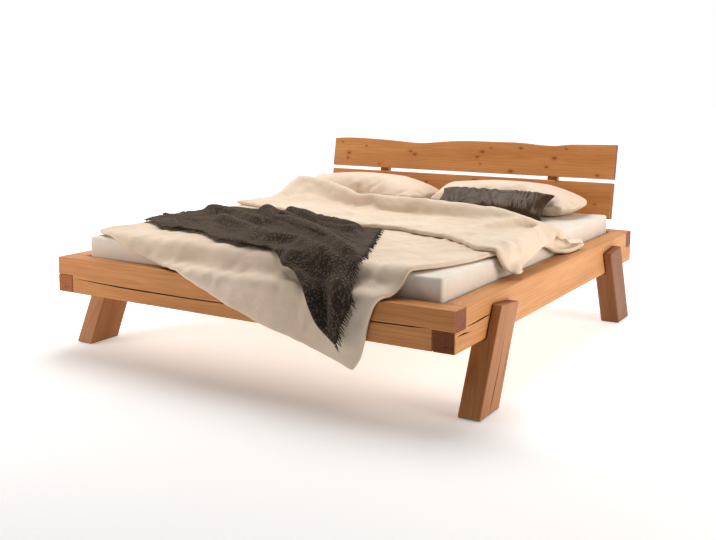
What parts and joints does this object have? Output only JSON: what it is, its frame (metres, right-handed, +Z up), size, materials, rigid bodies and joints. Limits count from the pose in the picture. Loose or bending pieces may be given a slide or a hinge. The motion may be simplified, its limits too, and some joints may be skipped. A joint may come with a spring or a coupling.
{
  "type": "wooden beam bed",
  "caption": "Large bed of heavy half-lapped softwood beams on splayed legs, with a leaning live-edge plank headboard, slatted base, mattress and loosely spread bedding",
  "frame": {"origin": "on the floor, under the middle leg, at the middle of the beam frame", "axes": "+X to the right of someone at the foot end who looks at the headboard, +Y from foot to head, +Z up"},
  "size_m": [2.08, 2.3314, 0.8957],
  "materials": {
    "beam_timber": "oiled, rough sawn then brushed",
    "leg_timber": "oiled",
    "plank_timber": "oiled, natural edge",
    "plain_softwood": "planed, raw",
    "zinc_steel": "zinc plated",
    "black_steel": "black lacquer",
    "felt": "pressed felt",
    "mattress_cloth": "matte woven",
    "duvet_cloth": "matte crumpled cotton",
    "knit": "coarse knit",
    "pillow_cloth": "matte cotton",
    "satin": "satin sheen"
  },
  "bodies": {
    "root": {"centre_beam": "plain_softwood", "centre_hanger_foot": "zinc_steel", "centre_hanger_head": "zinc_steel", "centre_leg": "plain_softwood", "centre_leg_stud": "zinc_steel", "corner_bolts": "zinc_steel", "duvet": "duvet_cloth", "felt_glides": "felt", "foot_beam": "beam_timber", "hanger_screws_foot": "zinc_steel", "hanger_screws_head": "zinc_steel", "head_beam": "beam_timber", "headboard_lower_plank": "plank_timber", "headboard_stile_left": "plank_timber", "headboard_stile_right": "plank_timber", "headboard_upper_plank": "plank_timber", "ledger_left": "plain_softwood", "ledger_right": "plain_softwood", "ledger_screws_left": "zinc_steel", "ledger_screws_right": "zinc_steel", "leg_bolts_left": "zinc_steel", "leg_bolts_right": "zinc_steel", "leg_brackets": "black_steel", "leg_front_left": "leg_timber", "leg_front_right": "leg_timber", "leg_rear_left": "leg_timber", "leg_rear_right": "leg_timber", "mattress": "mattress_cloth", "pillow_left": "pillow_cloth", "pillow_right": "pillow_cloth", "plank_screws": "zinc_steel", "satin_cushion": "satin", "side_beam_left": "beam_timber", "side_beam_right": "beam_timber", "slat_01": "plain_softwood", "slat_02": "plain_softwood", "slat_03": "plain_softwood", "slat_04": "plain_softwood", "slat_05": "plain_softwood", "slat_06": "plain_softwood", "slat_07": "plain_softwood", "slat_08": "plain_softwood", "slat_09": "plain_softwood", "slat_10": "plain_softwood", "slat_11": "plain_softwood", "slat_12": "plain_softwood", "slat_13": "plain_softwood", "slat_14": "plain_softwood", "slat_15": "plain_softwood", "slat_screws": "zinc_steel", "stile_bolts": "zinc_steel", "throw": "knit"}
  },
  "joints": []
}
